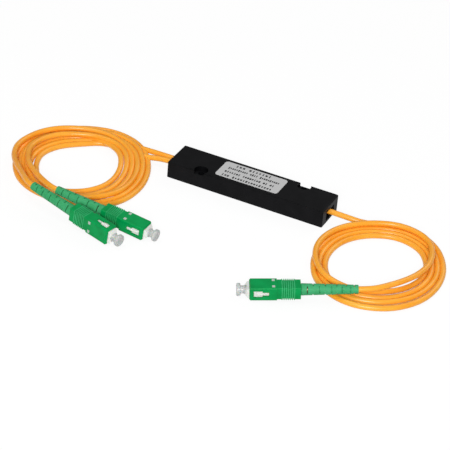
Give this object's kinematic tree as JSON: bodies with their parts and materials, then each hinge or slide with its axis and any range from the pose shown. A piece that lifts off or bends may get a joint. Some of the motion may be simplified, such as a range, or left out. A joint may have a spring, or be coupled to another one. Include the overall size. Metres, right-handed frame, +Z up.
{
  "type": "fused biconical taper splitter",
  "caption": "Slim black box that splits one optical fibre into two, with coiled orange leads ended in green push-pull plugs.",
  "frame": {"origin": "centre of the box's underside", "axes": "+X along the box towards the input end, +Y across it, away from the three plugs, +Z up out of the labelled face"},
  "size_m": [0.2443, 0.1069, 0.0128],
  "materials": {
    "black_abs": "fine moulded grain, satin black",
    "label_film": null,
    "black_resin": "set black resin",
    "stainless": "drawn tube, fine brushed",
    "quartz": "clear polished quartz and glass",
    "epoxy": "amber cured epoxy",
    "silicone": "white silicone seal",
    "buffer_white": "white loose tube",
    "jacket_orange": "smooth orange jacket, satin",
    "grip_green": "moulded green, satin gloss",
    "marks_white": "white filled marks",
    "frame_white": "white moulded frame",
    "zirconia": "polished white zirconia",
    "flange_metal": "nickel plated",
    "crimp_metal": "annealed crimp sleeve",
    "boot_green": "soft green rubber, matt",
    "cap_clear": "milky translucent polythene"
  },
  "bodies": {
    "root": {"housing": "black_abs", "bottom_cover": "black_abs", "label": "label_film", "cable_anchor_input": "black_resin", "cable_anchor_output": "black_resin", "steel_tube": "stainless", "quartz_substrate": "quartz", "fused_taper": "quartz", "epoxy_bead_input": "epoxy", "epoxy_bead_output": "epoxy", "tube_seal_input": "silicone", "tube_seal_output": "silicone", "buffer_tube_input": "buffer_white", "buffer_tube_output_a": "buffer_white", "buffer_tube_output_b": "buffer_white", "input_lead": "jacket_orange", "input_coil": "jacket_orange", "input_tail": "jacket_orange", "output_lead_a": "jacket_orange", "output_lead_b": "jacket_orange", "output_coil": "jacket_orange", "output_tail_a": "jacket_orange", "output_tail_b": "jacket_orange", "plug_frame_input": "frame_white", "spring_input": "stainless", "back_post_input": "stainless", "crimp_ring_input": "crimp_metal", "boot_input": "boot_green", "plug_frame_output_a": "frame_white", "spring_output_a": "stainless", "back_post_output_a": "stainless", "crimp_ring_output_a": "crimp_metal", "boot_output_a": "boot_green", "plug_frame_output_b": "frame_white", "spring_output_b": "stainless", "back_post_output_b": "stainless", "crimp_ring_output_b": "crimp_metal", "boot_output_b": "boot_green"},
    "grip_input": {"grip_input": "grip_green", "grip_marks_input": "marks_white"},
    "ferrule_input": {"ferrule_input": "zirconia", "ferrule_flange_input": "flange_metal"},
    "dust_cap_input": {"dust_cap_input": "cap_clear"},
    "grip_output_a": {"grip_output_a": "grip_green", "grip_marks_output_a": "marks_white"},
    "ferrule_output_a": {"ferrule_output_a": "zirconia", "ferrule_flange_output_a": "flange_metal"},
    "dust_cap_output_a": {"dust_cap_output_a": "cap_clear"},
    "grip_output_b": {"grip_output_b": "grip_green", "grip_marks_output_b": "marks_white"},
    "ferrule_output_b": {"ferrule_output_b": "zirconia", "ferrule_flange_output_b": "flange_metal"},
    "dust_cap_output_b": {"dust_cap_output_b": "cap_clear"}
  },
  "joints": [
    {"name": "grip_slide_input", "type": "slide", "parent": "root", "child": "grip_input", "axis": [-0.8854, -0.4609, -0.061], "range_m": [0, 0.0018]},
    {"name": "ferrule_float_input", "type": "slide", "parent": "root", "child": "ferrule_input", "axis": [-0.8854, -0.4609, -0.061], "range_m": [-0.0012, 0], "stiffness_N_per_m": 2500, "springref_m": 0.002, "deforming": ["spring_input"]},
    {"name": "dust_cap_pull_input", "type": "slide", "parent": "root", "child": "dust_cap_input", "axis": [-0.8854, -0.4609, -0.061], "range_m": [0, 0.012]},
    {"name": "grip_slide_output_a", "type": "slide", "parent": "root", "child": "grip_output_a", "axis": [0.9738, -0.1999, -0.108], "range_m": [0, 0.0018]},
    {"name": "ferrule_float_output_a", "type": "slide", "parent": "root", "child": "ferrule_output_a", "axis": [0.9738, -0.1999, -0.108], "range_m": [-0.0012, 0], "stiffness_N_per_m": 2500, "springref_m": 0.002, "deforming": ["spring_output_a"]},
    {"name": "dust_cap_pull_output_a", "type": "slide", "parent": "root", "child": "dust_cap_output_a", "axis": [0.9738, -0.1999, -0.108], "range_m": [0, 0.012]},
    {"name": "grip_slide_output_b", "type": "slide", "parent": "root", "child": "grip_output_b", "axis": [0.994, -0.0173, -0.108], "range_m": [0, 0.0018]},
    {"name": "ferrule_float_output_b", "type": "slide", "parent": "root", "child": "ferrule_output_b", "axis": [0.994, -0.0173, -0.108], "range_m": [-0.0012, 0], "stiffness_N_per_m": 2500, "springref_m": 0.002, "deforming": ["spring_output_b"]},
    {"name": "dust_cap_pull_output_b", "type": "slide", "parent": "root", "child": "dust_cap_output_b", "axis": [0.994, -0.0173, -0.108], "range_m": [0, 0.012]}
  ]
}
